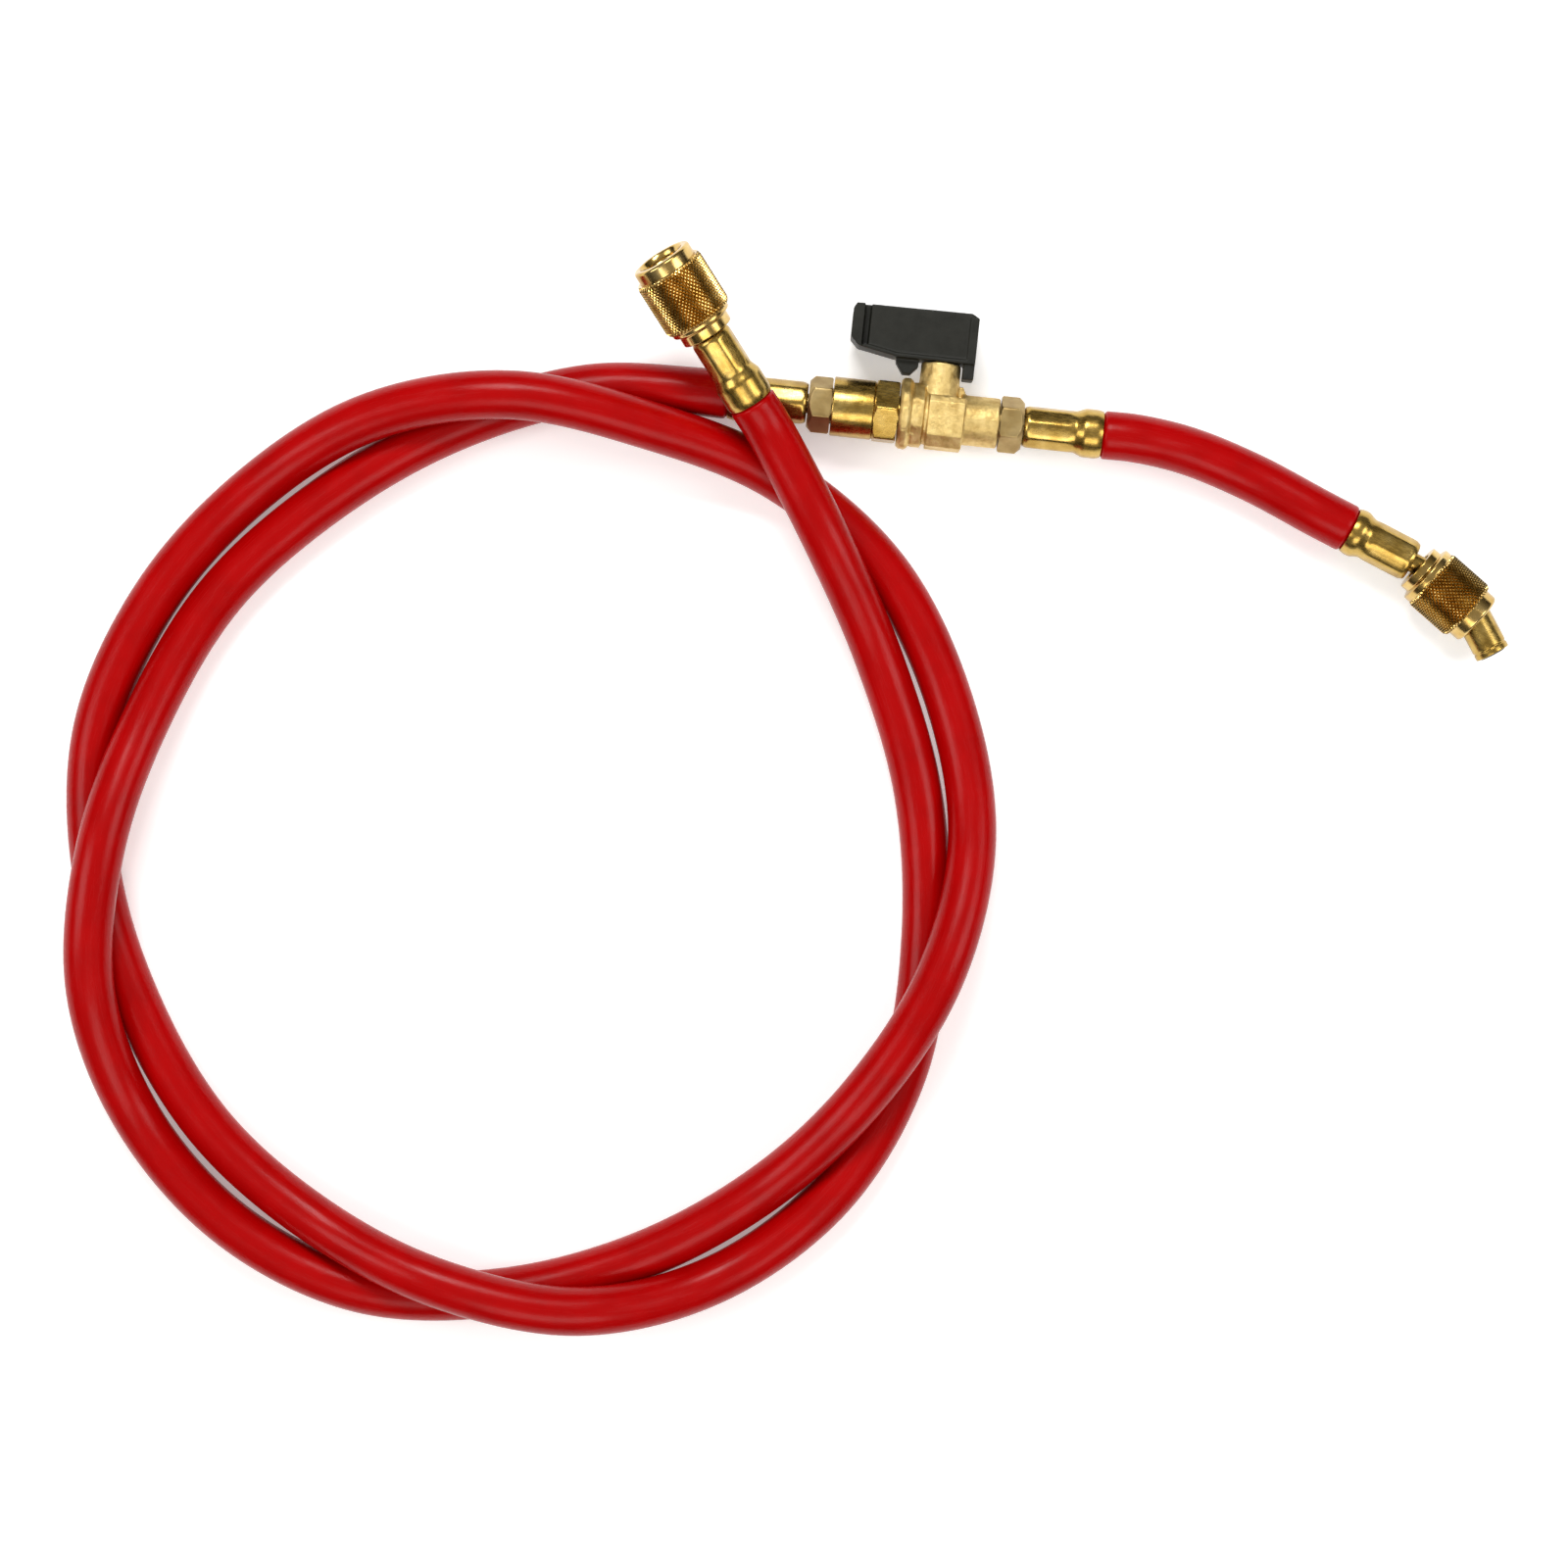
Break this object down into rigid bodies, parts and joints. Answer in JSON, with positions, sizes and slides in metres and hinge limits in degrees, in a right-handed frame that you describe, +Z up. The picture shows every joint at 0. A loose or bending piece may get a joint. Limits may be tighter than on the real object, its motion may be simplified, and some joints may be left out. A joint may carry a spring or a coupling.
{
  "type": "refrigerant charging hose",
  "caption": "Flexible rubber charging hose with an inline brass ball valve and lever, a short whip hose, and knurled flare nuts on a straight end and a bent end.",
  "frame": {"origin": "On the floor, below the middle of the valve and the two end fittings.", "axes": "+Z up from the floor the hose lies on. +X roughly along the valve's flow, from its inlet to its outlet. +Y from the middle of the hose's turns towards the valve, along which the lever stands out."},
  "size_m": [0.378, 0.2821, 0.0439],
  "materials": {
    "red_rubber": "smooth red synthetic rubber cover with a soft satin sheen",
    "turned_brass": "bright turned brass with fine lathe lines",
    "forged_brass": "pale matte forged brass with a fine blasted grain",
    "black_plastic": "charcoal moulded plastic, matte",
    "black_rubber": "plain black seal rubber",
    "white_plastic": "plain white fluoroplastic",
    "plated_steel": "zinc plated screw"
  },
  "bodies": {
    "hose": {"long_hose": "red_rubber", "short_hose": "red_rubber", "ferrule_inlet": "turned_brass", "ferrule_outlet": "turned_brass", "ferrule_straight": "turned_brass", "ferrule_bent": "turned_brass", "inlet_nipple": "turned_brass", "outlet_nipple": "turned_brass", "valve_cap": "turned_brass", "valve_body": "forged_brass", "seat_inlet": "white_plastic", "seat_outlet": "white_plastic", "stem_straight": "turned_brass", "seal_straight": "black_rubber", "stem_bent": "turned_brass", "seal_bent": "black_rubber"},
    "lever": {"handle": "black_plastic", "handle_screw": "plated_steel", "valve_stem": "turned_brass", "valve_ball": "turned_brass"},
    "straight_nut": {"nut_straight": "turned_brass"},
    "bent_nut": {"nut_bent": "turned_brass"}
  },
  "joints": [
    {"name": "lever_turn", "type": "hinge", "parent": "hose", "child": "lever", "pos_m": [-0.0359, 0.0107, 0.0096], "axis": [0.1063, 0.9943, 0], "range_deg": [0, 90]},
    {"name": "straight_nut_spin", "type": "hinge", "parent": "hose", "child": "straight_nut", "pos_m": [-0.09524, 0.03057, 0.02915], "axis": [-0.5208, 0.7958, 0.309], "continuous": true},
    {"name": "bent_nut_spin", "type": "hinge", "parent": "hose", "child": "bent_nut", "pos_m": [0.09042, -0.02851, 0.0086], "axis": [0.7513, -0.66, 0], "continuous": true}
  ]
}
